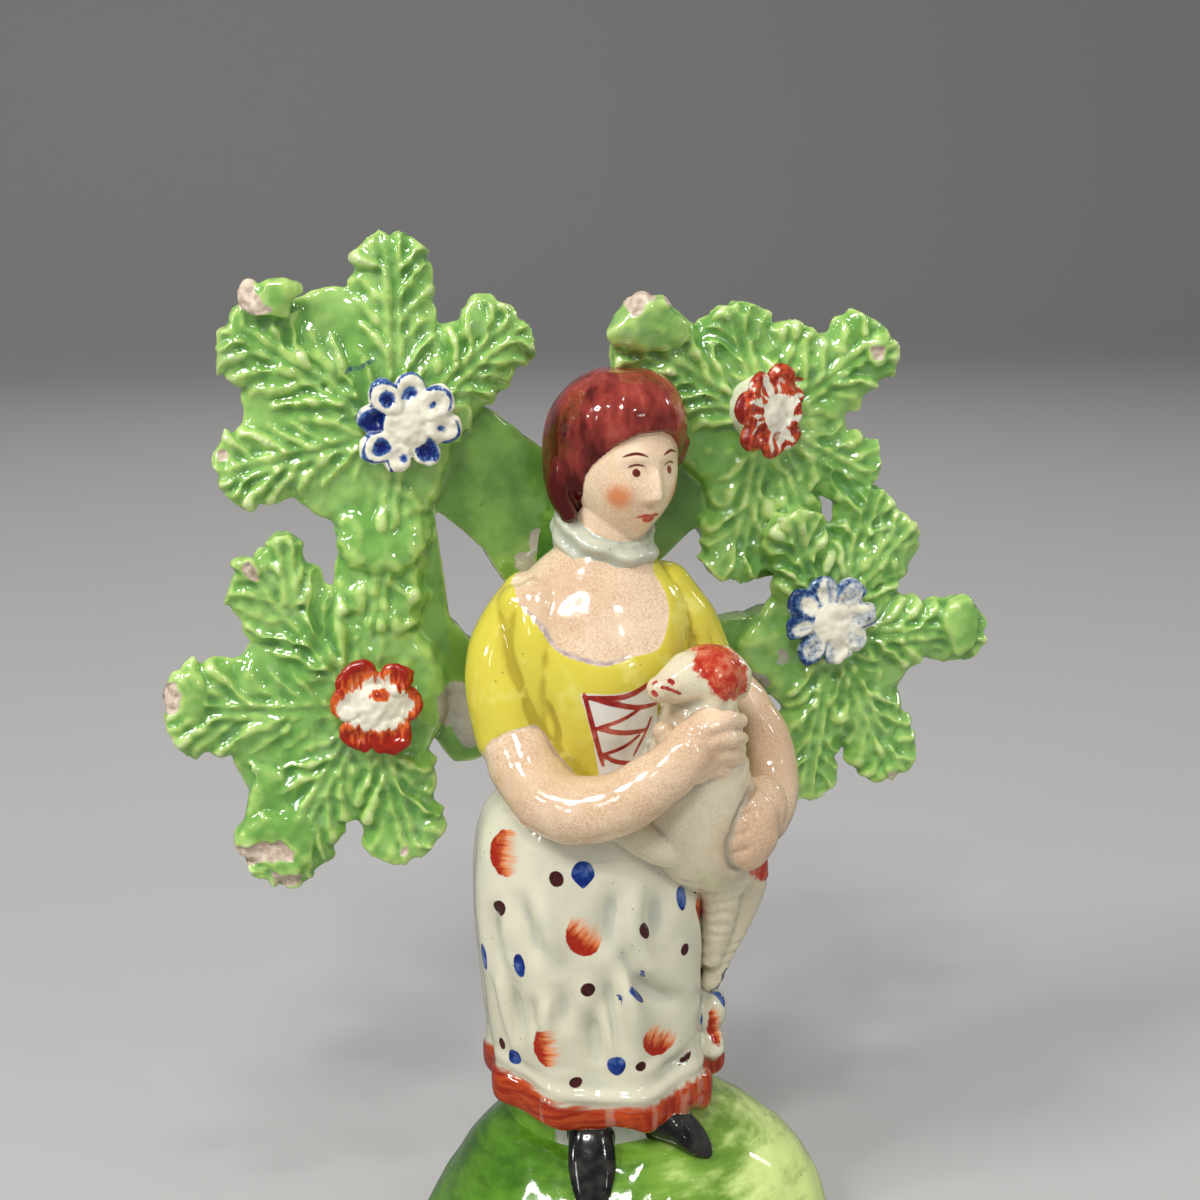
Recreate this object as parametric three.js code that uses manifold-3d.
// Glazed earthenware bocage figure: a girl with a lamb on a green mound, before a leafy screen.
// Millimetres, +Z up, she faces -Y. The origin is the centre of the mound's flat underside.
import * as THREE from 'three';
import { mergeVertices } from 'three/addons/utils/BufferGeometryUtils.js';
import Module from 'manifold-3d';

const wasm = await Module();
wasm.setup();

// Driving dimensions.
const moundLength = 61.8;       // across the foot, left to right
const moundDepth = 54;         // across the foot, front to back
const moundHeight = 23;        // table to the top of the mound, where she stands
const footRim = 1.8;           // upright band round the foot
const ladyHeight = 107;        // mound top to the crown of her hair
const leafLength = 27;         // flower centre to the tip of a full leaflet
const leafWidth = 12.4;        // a full leaflet across its widest lobe
const leafRelief = 2.3;        // midrib above the leaflet's middle plane
const flowerDiameter = 12.6;   // over the petals
const petalRise = 2.4;         // petals above their boss
const bossDiameter = 8.4;      // clay boss under a flower
const slabFront = 5.6;         // front face of the screen's slabs, behind her axis
const slabThickness = 4.2;     // clay slabs that carry the sprigs
const trunkWidth = 19;         // stump behind her skirt
const trunkDepth = 10;

// Her proportions are drawn on a sheet of 107 squares to her height. The sheet's soles are at 23
// and the mound's middle is at 0.9 across, so a pose point keeps its place when she grows.
const squares = 107;
const soles = 23;
const middle = 0.9;
const unit = ladyHeight / squares;

function at(x, y, z) {
  return new THREE.Vector3((x - middle) * unit, y * unit, moundHeight + (z - soles) * unit);
}

// Closed solid from rings of points; each end closes on its own centre, pushed out by a cap length.
function loft(rings, startCap = 0, endCap = 0) {
  const sides = rings[0].length;
  const centre = (ring) => ring.reduce((sum, point) => sum.add(point), new THREE.Vector3()).divideScalar(sides);
  const first = centre(rings[0]);
  const last = centre(rings[rings.length - 1]);
  const outward = first.clone().sub(centre(rings[1])).normalize();
  const onward = last.clone().sub(centre(rings[rings.length - 2])).normalize();
  first.addScaledVector(outward, startCap);
  last.addScaledVector(onward, endCap);
  const points = [...rings.flat(), first, last];
  const faces = [];
  for (let row = 0; row < rings.length - 1; row++) {
    for (let k = 0; k < sides; k++) {
      const a = row * sides + k;
      const b = row * sides + (k + 1) % sides;
      faces.push(a, b, a + sides, b, b + sides, a + sides);
    }
  }
  const end = (rings.length - 1) * sides;
  for (let k = 0; k < sides; k++) {
    faces.push(points.length - 2, (k + 1) % sides, k);
    faces.push(points.length - 1, end + k, end + (k + 1) % sides);
  }
  const geometry = new THREE.BufferGeometry();
  geometry.setAttribute('position', new THREE.Float32BufferAttribute(points.flatMap((p) => [p.x, p.y, p.z]), 3));
  geometry.setIndex(faces);
  return solid(geometry);
}

// A three.js geometry as a solid, turned right side out where its rings ran the other way.
function solid(geometry) {
  geometry.deleteAttribute('normal');
  geometry.deleteAttribute('uv');
  const merged = mergeVertices(geometry, 1e-4);
  const vertProperties = new Float32Array(merged.attributes.position.array);
  const triVerts = new Uint32Array(merged.index.array);
  let volume = 0;
  const corner = (i) => new THREE.Vector3().fromArray(vertProperties, 3 * triVerts[i]);
  for (let i = 0; i < triVerts.length; i += 3) {
    volume += corner(i).dot(corner(i + 1).cross(corner(i + 2)));
  }
  if (volume < 0) {
    triVerts.reverse();
  }
  return new wasm.Manifold(new wasm.Mesh({ numProp: 3, vertProperties, triVerts }));
}

// Level rings drawn on the sheet: [z, x, y, half width, half depth], with a carving function.
function turned(levels, sides, carve = () => 0) {
  return loft(levels.map(([z, x, y, wide, deep], row) => Array.from({ length: sides }, (_, k) => {
    const angle = 2 * Math.PI * k / sides;
    const cut = carve(angle, row / (levels.length - 1));
    return at(x + (wide + cut) * Math.cos(angle), y + (deep + cut) * Math.sin(angle), z);
  })));
}

// Round limb along sheet points with a radius at each, ends domed.
function limb(path, radii, sides = 10, steps = 8) {
  const curve = new THREE.CatmullRomCurve3(path.map((p) => at(...p)));
  const frames = curve.computeFrenetFrames(steps, false);
  const radius = (u) => {
    const place = u * (radii.length - 1);
    const low = Math.min(Math.floor(place), radii.length - 2);
    return unit * THREE.MathUtils.lerp(radii[low], radii[low + 1], place - low);
  };
  const ring = (i, size, shift) => Array.from({ length: sides }, (_, k) => {
    const angle = 2 * Math.PI * k / sides;
    return curve.getPointAt(i / steps)
      .addScaledVector(frames.tangents[i], shift)
      .addScaledVector(frames.normals[i], size * Math.cos(angle))
      .addScaledVector(frames.binormals[i], size * Math.sin(angle));
  });
  const start = radius(0);
  const end = radius(1);
  const rings = [ring(0, 0.66 * start, -0.66 * start)];
  for (let i = 0; i <= steps; i++) {
    rings.push(ring(i, radius(i / steps), 0));
  }
  rings.push(ring(steps, 0.66 * end, 0.66 * end));
  return loft(rings, 0.3 * start, 0.3 * end);
}

// Egg-shaped mass on the sheet, leaned by degrees about the front-to-back and upright axes.
function mass(centre, wide, deep, tall, lean = 0, turn = 0, across = 12, down = 8) {
  const geometry = new THREE.SphereGeometry(1, across, down);
  geometry.rotateX(Math.PI / 2);
  geometry.scale(wide * unit, deep * unit, tall * unit);
  geometry.rotateY(THREE.MathUtils.degToRad(lean));
  geometry.rotateZ(THREE.MathUtils.degToRad(turn));
  const place = at(...centre);
  geometry.translate(place.x, place.y, place.z);
  return solid(geometry);
}

// Mound: shares of its height, and of its half length and half depth.
const moundProfile = [[0, 1], [0.2, 0.945], [0.38, 0.875], [0.56, 0.785], [0.73, 0.665], [0.87, 0.515], [0.96, 0.33]];

function mound() {
  const sides = 28;
  const ring = (height, share, ripple) => Array.from({ length: sides }, (_, k) => {
    const angle = 2 * Math.PI * k / sides;
    const swell = 1 + ripple * 0.022 * Math.cos(3 * angle + 0.6);
    return new THREE.Vector3(
      moundLength / 2 * share * swell * Math.cos(angle),
      moundDepth / 2 * share * swell * Math.sin(angle),
      height,
    );
  });
  const dome = moundProfile.map(([rise, share]) => ring(footRim + (moundHeight - footRim) * rise, share, 4 * rise * (1 - rise)));
  return loft([ring(0, 0.985, 0), ...dome], 0, moundHeight * 0.04);
}

// Height of the mound's surface under a point, so that the shoes stand on it.
function moundTop(x, y) {
  const share = Math.hypot(2 * x / moundLength, 2 * y / moundDepth);
  for (let i = 1; i < moundProfile.length; i++) {
    const [low, wide] = moundProfile[i - 1];
    const [high, slim] = moundProfile[i];
    if (share >= slim) {
      const part = (wide - share) / (wide - slim);
      return footRim + (moundHeight - footRim) * (low + (high - low) * part);
    }
  }
  return moundHeight;
}

// Shoe lying on the slope: heel and toe are sheet places, its height is the mound's own.
function shoe([heelX, heelY], [toeX, toeY]) {
  const ring = (t, wide, low, high) => Array.from({ length: 8 }, (_, k) => {
    const angle = 2 * Math.PI * k / 8;
    const across = new THREE.Vector2(toeY - heelY, heelX - toeX).normalize().multiplyScalar(wide * Math.cos(angle));
    const place = at(
      THREE.MathUtils.lerp(heelX, toeX, t) - across.x,
      THREE.MathUtils.lerp(heelY, toeY, t) - across.y,
      soles,
    );
    const middleOfShoe = at(THREE.MathUtils.lerp(heelX, toeX, t), THREE.MathUtils.lerp(heelY, toeY, t), soles);
    const ground = moundTop(middleOfShoe.x, middleOfShoe.y);
    place.z = ground + unit * ((high - low) / 2 * Math.sin(angle) + (high + low) / 2);
    return place;
  });
  return loft([
    ring(0, 2.2, -1.2, 4.2), ring(0.15, 3.2, -1, 5.4), ring(0.42, 3.3, -0.8, 5),
    ring(0.64, 3.5, -0.8, 3.6), ring(0.85, 2.7, -0.8, 2.6), ring(1, 1.2, -0.7, 1.5),
  ], 0.4, 0.5);
}

// Leaflet, laid out from a sprig's centre. Its rim is scalloped, its ribs run across it in steps,
// and the tip is blunt with a notch. Angle in degrees in the plane of the screen.
const leafStations = [
  [0.12, 0.6, 0.9], [0.34, 0.92, 1.02], [0.5, 0.86, 0.72], [0.64, 0.98, 0.96], [0.78, 0.92, 0.66],
  [0.91, 0.98, 0.76], [1, 0.62, 0.42],
];
const leafSection = [[1, -0.2], [0.6, 0.62], [0, 1], [-0.6, 0.62], [-1, -0.2], [0, -0.8]];

function leaflet(root, angle, lengthShare, widthShare, forward) {
  const turn = THREE.MathUtils.degToRad(angle);
  const along = new THREE.Vector3(Math.cos(turn), 0, Math.sin(turn));
  const across = new THREE.Vector3(-Math.sin(turn), 0, Math.cos(turn));
  const reach = leafLength * lengthShare;
  const rings = leafStations.map(([t, wide, thick]) => leafSection.map(([u, v]) => root.clone()
    .addScaledVector(along, reach * t)
    .addScaledVector(across, leafWidth / 2 * widthShare * wide * u)
    .add(new THREE.Vector3(0, -leafRelief * thick * v - forward * t * t, 0))));
  return loft(rings, 0, -0.05 * reach);
}

// Web of a sprig: one crowned sheet from which its leaflets part, reaching out into each notch.
function web(root, rim) {
  const ring = (share, depth) => rim.map(([angle, reach]) => {
    const turn = THREE.MathUtils.degToRad(angle);
    const size = leafLength * reach * share;
    return new THREE.Vector3(root.x + size * Math.cos(turn), root.y + depth, root.z + size * Math.sin(turn));
  });
  return loft([
    ring(0.9, 0.75 * leafRelief), ring(1, 0.2 * leafRelief), ring(0.88, -0.55 * leafRelief), ring(0.4, -leafRelief),
  ]);
}

// Stem: a ribbed strip between two sprigs.
function stem(from, to, width) {
  const along = to.clone().sub(from);
  const across = new THREE.Vector3(along.z, 0, -along.x).normalize();
  const steps = 9;
  const rings = Array.from({ length: steps + 1 }, (_, i) => {
    const swell = i % 2 ? 1.06 : 0.9;
    return leafSection.map(([u, v]) => from.clone()
      .addScaledVector(along, i / steps)
      .addScaledVector(across, width / 2 * swell * u)
      .add(new THREE.Vector3(0, -leafRelief * (i % 2 ? 0.75 : 1.0) * v, 0)));
  });
  return loft(rings);
}

// Flower on its boss, facing the front: scalloped petals round a dished middle.
function flower(root, face, rise, petals) {
  const sides = petals * 3;
  const radius = flowerDiameter / 2;
  const ring = (share, lobe, depth) => Array.from({ length: sides }, (_, k) => {
    const angle = 2 * Math.PI * k / sides;
    const size = radius * share * (1 + lobe * Math.cos(petals * angle));
    return new THREE.Vector3(
      face.x + size * Math.cos(angle),
      root.y - rise - depth,
      face.z + size * Math.sin(angle),
    );
  });
  const foot = bossDiameter / flowerDiameter;
  return loft([
    ring(1.15 * foot, 0, -rise), ring(foot, 0, 0), ring(0.97, 0.09, 0.25 * petalRise),
    ring(0.86, 0.1, petalRise), ring(0.42, 0, 0.66 * petalRise),
  ], 0, 0.2 * petalRise);
}

// Slab of the screen: an outline on the sheet, extruded front to back.
function slab(outline) {
  const corners = outline.map(([x, z]) => at(x, 0, z));
  const shape = new THREE.Shape(corners.map((p) => new THREE.Vector2(p.x, p.z)));
  const geometry = new THREE.ExtrudeGeometry(shape, { depth: slabThickness, bevelEnabled: false });
  geometry.rotateX(Math.PI / 2);
  geometry.translate(0, slabFront + slabThickness, 0);
  return solid(geometry);
}

// The screen's four sprigs: centre and flower on the sheet, flower rise and petals, then leaflets
// as [angle, length share, width share, how far the tip comes forward] and the web's rim.
const leafPlane = slabFront - 0.6;
const sprigs = [
  { centre: [-30.6, 121.3], face: [-29.5, 122.4], rise: 3.4, petals: 8, leaves: [
    [90, 0.99, 0.92, 0.5], [146, 1, 1.12, 1.2], [193, 0.93, 0.95, 0.6], [33.5, 0.8, 0.98, 1.2],
  ], rim: [
    [33, 0.5], [62, 0.52], [72, 0.66], [90, 0.7], [121, 0.8], [146, 0.8], [165, 0.78], [193, 0.7], [231, 0.58],
    [262, 0.55], [300, 0.4], [350, 0.3], [12, 0.34],
  ] },
  { centre: [-35.6, 82.3], face: [-34.7, 83.6], rise: 3.6, petals: 6, leaves: [
    [125, 1, 1.06, 1], [177, 1.03, 1.18, 0.8], [238, 1.06, 1.08, 1.6], [285, 0.88, 0.98, 1.2],
  ], rim: [
    [16, 0.44], [60, 0.5], [95, 0.6], [113, 0.64], [125, 0.72], [160, 0.71], [177, 0.76], [213, 0.74], [238, 0.7],
    [256, 0.56], [285, 0.56], [318, 0.42], [350, 0.42],
  ] },
  { centre: [21.9, 120.6], face: [19.8, 123], rise: 6.4, petals: 7, leaves: [
    [148, 0.95, 1.02, 2.6], [108, 0.66, 0.86, 0.6], [34, 0.82, 1, 1.2], [-29, 0.72, 0.92, 0.8],
    [-102, 0.92, 0.84, 1],
  ], rim: [
    [7, 0.46], [34, 0.52], [80, 0.48], [100, 0.52], [120, 0.64], [148, 0.62], [170, 0.58], [196, 0.5], [224, 0.46],
    [258, 0.48], [295, 0.47], [331, 0.5],
  ] },
  { centre: [32.6, 89.1], face: [31.3, 92], rise: 3.6, petals: 8, leaves: [
    [113, 0.78, 0.82, 4.4], [56, 0.76, 0.82, 0.6], [-1, 0.9, 0.82, 2], [-63.5, 0.94, 0.92, 1],
    [-98.5, 0.95, 0.84, 0.8],
  ], rim: [
    [27, 0.44], [56, 0.46], [85, 0.45], [113, 0.46], [156, 0.4], [189, 0.52], [224, 0.46], [262, 0.56], [277, 0.58],
    [297, 0.6], [340, 0.54], [0, 0.5],
  ] },
];

function screen() {
  const pieces = [];
  const roots = sprigs.map(({ centre: [x, z] }) => at(x, 0, z).setY(leafPlane));
  sprigs.forEach(({ face: [x, z], rise, petals, leaves, rim }, i) => {
    pieces.push(web(roots[i], rim));
    for (const leaf of leaves) {
      pieces.push(leaflet(roots[i], ...leaf));
    }
    pieces.push(flower(roots[i], at(x, 0, z), rise, petals));
  });
  pieces.push(stem(roots[0], roots[1], leafWidth * 1.06));
  pieces.push(stem(roots[2], roots[3], leafWidth * 0.8));
  pieces.push(slab([
    [-29, 126], [-20.2, 125.4], [-15.3, 122.2], [-8.9, 117.3], [1, 113], [1, 100], [-6, 98], [-12.5, 97.2],
    [-14.9, 98.1], [-18.4, 103.8], [-23.3, 108.3], [-29, 112],
  ]));
  pieces.push(slab([
    [-32, 112], [-25.4, 110.5], [-24.3, 102], [-23.4, 94.6], [-20.2, 90.2], [-12, 91], [-12, 80], [-18, 73.6],
    [-23, 72.8], [-27, 78.5], [-32, 84],
  ]));
  pieces.push(slab([
    [-1, 118], [-1, 99], [6.4, 100.4], [12.6, 105.7], [14.6, 103], [16.6, 99.2], [20.6, 97.6], [28, 98],
    [30, 112], [24, 122], [8, 124.5],
  ]));
  pieces.push(slab([
    [6, 92.6], [14.4, 91.8], [19.8, 91.9], [23.7, 93.2], [33, 94], [33, 84], [25, 80], [19, 78.6], [8, 80],
  ]));
  return pieces;
}

// Stump behind her: from inside the mound up to the slabs.
function stump() {
  const ring = (z, share) => Array.from({ length: 10 }, (_, k) => {
    const angle = 2 * Math.PI * k / 10;
    const place = at(-2.6, 0, z);
    place.x += trunkWidth / 2 * share * Math.cos(angle);
    place.y = slabFront + slabThickness / 2 + trunkDepth / 2 * share * Math.sin(angle);
    return place;
  });
  return loft([ring(12, 1.12), ring(30, 1.0), ring(84, 1), ring(104, 0.92), ring(116, 0.6)], 0, 1);
}

// Skirt with folds that deepen to a frilled hem, over a plain petticoat that meets the mound.
function skirt() {
  const folds = (angle, t) => (1 - t) * (0.7 * Math.cos(9 * angle + 1.1) + 0.5 * Math.cos(5 * angle - 2 * t))
    + (t < 0.32 ? 0.3 * Math.cos(9 * angle) : 0);
  return [
    turned([
      [23.8, -2.9, -1.2, 15.2, 13.6], [24.6, -2.9, -1.2, 16.8, 15.2], [28.4, -3, -1.1, 17, 15.4],
      [31.6, -3.3, -1, 16.2, 14.4], [42, -3.9, -1, 16.8, 14.2], [52, -4.2, -1, 17.4, 14.2],
      [61, -4.4, -1, 17, 13.8], [67, -4.3, -1.2, 15.6, 12.8], [72, -4.1, -1.4, 13.4, 11.2], [77, -4, -1.5, 11.4, 9.8],
    ], 27, folds),
    turned([[10, -2.6, -0.4, 14.6, 12.2], [19, -2.8, -0.6, 14, 12.4], [25, -3, -1, 14.6, 13]], 16),
    mass([12, -6.6, 36.4], 2.2, 2.6, 3.6, 14, 0, 8, 5),
    mass([11.8, -7.2, 31.4], 2, 2.6, 3, -10, 0, 8, 5),
  ];
}

function bodice() {
  return [
    turned([
      [72, -4, -1.4, 11.6, 9.8], [77, -4, -1.5, 11.2, 9.8], [82, -4, -1.8, 11.6, 10.6], [87.5, -4, -2, 12.6, 11],
      [92, -3.9, -1.7, 13.4, 10.4], [96, -3.8, -1.2, 13.6, 9.2], [99.5, -3.7, -0.8, 11.8, 7.8],
      [102.5, -3.5, -0.4, 8.6, 6.4], [105, -3, -0.2, 6, 5.6], [109, -2.2, -0.2, 5.4, 5.4],
    ], 18, (angle, t) => (t > 0.35 && t < 0.6 ? 0.25 * Math.cos(8 * angle) : 0)),
    limb([[-12.8, -0.4, 97.4], [-16.2, -1.2, 91], [-16.6, -2.6, 85], [-16.3, -4, 79.6]], [4.6, 5.5, 5.8, 5.3], 10, 5),
    limb([[5.6, -0.4, 97.6], [8.8, -1, 92.4], [11, -1.8, 88], [12.8, -2.4, 84.5]], [4.8, 5.2, 4.8, 4.2], 10, 4),
    // Collar band, high at the nape and low at the throat.
    loft([0, 1, 2, 3].map((row) => Array.from({ length: 14 }, (_, k) => {
      const angle = 2 * Math.PI * k / 14;
      const size = [6.2, 7.1, 6.7, 5.6][row];
      const drop = 2.6 * Math.sin(angle) - 1.2 * Math.cos(angle);
      return at(-2.6 + size * Math.cos(angle), -0.2 + size * 0.96 * Math.sin(angle), [102.2, 103.6, 107, 108.6][row] + drop);
    }))),
  ];
}

function arms() {
  return [
    // Her right arm, bent across her waist with the hand on the lamb's breast.
    limb([[-16.2, -4, 80], [-14.6, -8.6, 74.4], [-11.4, -13.8, 71.8], [-5.6, -17.6, 72.8], [0.6, -19.8, 76.9], [4.4, -20.6, 80.6]],
      [5.1, 4.9, 4.9, 4.5, 4, 3.5], 10, 9),
    mass([6.4, -20, 82.6], 4.1, 2.7, 3.2, -38, 0, 10, 6),
    limb([[6.2, -21, 84.6], [8.6, -20.4, 84.8], [9.6, -18.6, 83.6]], [1.1, 1.1, 0.9], 6, 3),
    limb([[7.4, -21.6, 82.8], [9.8, -20.8, 82.8], [10.8, -19, 81.6]], [1.1, 1.1, 0.9], 6, 3),
    // Her left arm, round the lamb's back with the hand under its rump.
    limb([[12.4, -2.4, 86], [16.8, -3, 82.4], [20, -4.4, 77], [20.6, -6.8, 71.6], [18.6, -10.6, 67.8], [15.6, -14.6, 66.8]],
      [3.8, 3.4, 3.5, 3.7, 3.8, 3.3], 8, 8),
    mass([14, -16, 66], 2.9, 2.5, 4.4, 14, 0, 10, 6),
  ];
}

// Lamb held upright against her, looking to its right.
function lamb() {
  return [
    limb([[12.6, -7.6, 60.6], [9.4, -10.4, 65.5], [7.8, -12.6, 72], [7.6, -13.6, 79], [8, -13.8, 85.4], [8.4, -13.6, 88]],
      [6.2, 8.2, 8, 7.2, 5.6, 4.6], 12, 7),
    mass([8.2, -14.6, 89], 5.2, 4.6, 4.5, -12, 0, 10, 7),
    limb([[5.6, -15.6, 89.2], [2.6, -17, 88.7], [1, -17.8, 88.6]], [3.8, 2.8, 2], 10, 4),
    limb([[10.6, -14.6, 91.4], [13, -14.6, 89], [13.2, -14, 86.6]], [1.9, 1.9, 1.2], 8, 3),
    // Foreleg raised against her bodice, and the two that hang.
    limb([[5.6, -15.6, 79], [2, -17, 82], [0.4, -17.4, 84.6]], [2.6, 2.2, 1.8], 8, 3),
    limb([[15, -7.6, 62], [16.1, -6.8, 56.4], [15.1, -6.2, 50], [13.2, -6, 44], [12, -6, 40.6]], [4.5, 3.8, 2.9, 2, 1.5], 8, 6),
    limb([[11, -11, 62], [12.2, -9.6, 56], [12.2, -8.4, 50], [11.6, -7.6, 45]], [4, 3, 2.3, 1.6], 7, 4),
  ];
}

// Head turned a little to her left: a plain egg with brow, nose and chin on the usual canon.
function head() {
  const geometry = new THREE.SphereGeometry(1, 14, 12);
  geometry.rotateX(Math.PI / 2);
  const place = geometry.attributes.position;
  for (let i = 0; i < place.count; i++) {
    const [x, y, z] = [place.getX(i), place.getY(i), place.getZ(i)];
    const jaw = z < 0 ? 1 - 0.34 * z * z : 1;
    const nose = Math.exp(-((x * 5) ** 2) - ((z + 0.12) * 4.5) ** 2) * (y < 0 ? 0.16 : 0);
    place.setXYZ(i, 7.2 * x * jaw, 8 * y * (z < 0 ? 1 - 0.16 * z * z : 1) - 8 * nose, 10.8 * z);
  }
  geometry.rotateZ(THREE.MathUtils.degToRad(20));
  geometry.scale(unit, unit, unit);
  const centre = at(-0.2, -2, 116.4);
  geometry.translate(centre.x, centre.y, centre.z);
  const strands = (angle, t) => 0.3 * Math.cos(10 * angle + 6 * t);
  return [
    solid(geometry),
    turned([
      [110, -2, 2.6, 6.4, 6.6], [113, -1.6, 2, 8.8, 8.4], [117, -1.1, 1.2, 9.9, 9.4], [121, -0.8, 0.4, 10, 10.2],
      [124.5, -0.5, -0.2, 9, 9.8], [127.5, -0.2, -0.4, 6.8, 7.6], [129.2, 0, -0.4, 3.8, 4.4],
    ], 20, strands),
    limb([[-8.6, -2.4, 117], [-9.2, -2.6, 113], [-8, -3.4, 110.2]], [2.2, 2, 1.3], 8, 4),
    limb([[8, -2.2, 118], [7.6, -2.2, 114]], [1.8, 1.3], 8, 3),
  ];
}

const pieces = [
  mound(),
  stump(),
  ...screen(),
  ...skirt(),
  ...bodice(),
  ...arms(),
  ...lamb(),
  ...head(),
  shoe([-6.7, -9.6], [-8.6, -19.6]),
  shoe([1.4, -10.8], [9.8, -15]),
];
const fired = pieces.reduce((whole, piece) => whole.add(piece));

const joined = fired.getMesh();
const surface = new THREE.BufferGeometry();
surface.setAttribute('position', new THREE.Float32BufferAttribute(joined.vertProperties, 3));
surface.setIndex(Array.from(joined.triVerts));
surface.computeVertexNormals();

const figure = new THREE.Mesh(surface, new THREE.MeshStandardMaterial({
  color: 0xe9e2cf, roughness: 0.14, metalness: 0,
}));
figure.name = 'bocage_figure';

const group = new THREE.Group();
group.add(figure);

export default group;
